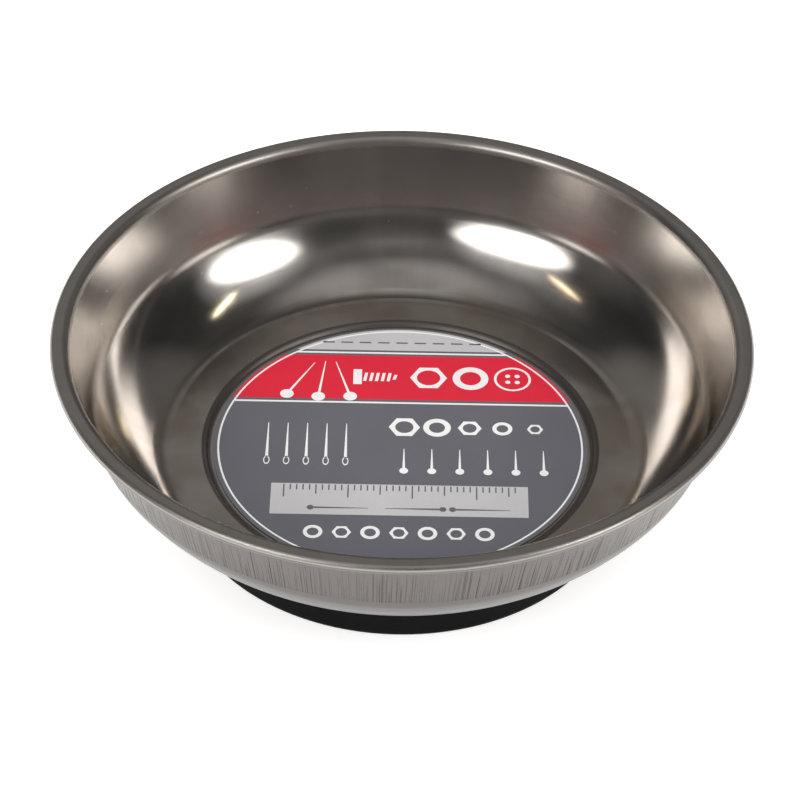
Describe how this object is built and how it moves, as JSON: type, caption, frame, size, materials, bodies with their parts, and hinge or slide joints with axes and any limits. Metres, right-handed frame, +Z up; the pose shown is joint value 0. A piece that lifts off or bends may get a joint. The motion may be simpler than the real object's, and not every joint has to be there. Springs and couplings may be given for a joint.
{
  "type": "magnetic pin bowl",
  "caption": "Round stainless steel bowl with a rolled rim on a rubber-covered ring magnet base, for holding pins, screws and other small steel parts.",
  "frame": {"origin": "centre of the base, on the plane that the bowl stands on", "axes": "+Z up along the bowl's axis; X and Y lie across the bowl, which is round"},
  "size_m": [0.108, 0.108, 0.032],
  "materials": {
    "stainless_sheet": "pressed stainless sheet, inside satin polished in rings, outside with short upright drawing lines",
    "printed_vinyl": "printed vinyl, dark grey field with a red band and a pale grey band, faint satin sheen",
    "zinc_plated_steel": "bright zinc plating",
    "ferrite": "dark grey ground ferrite",
    "black_rubber": "matt moulded black rubber"
  },
  "bodies": {
    "root": {"bowl": "stainless_sheet", "label": "printed_vinyl", "centre_screw": "zinc_plated_steel", "steel_cup": "zinc_plated_steel", "ring_magnet": "ferrite", "lock_washer": "zinc_plated_steel", "nut": "zinc_plated_steel", "rubber_boot": "black_rubber"}
  },
  "joints": []
}
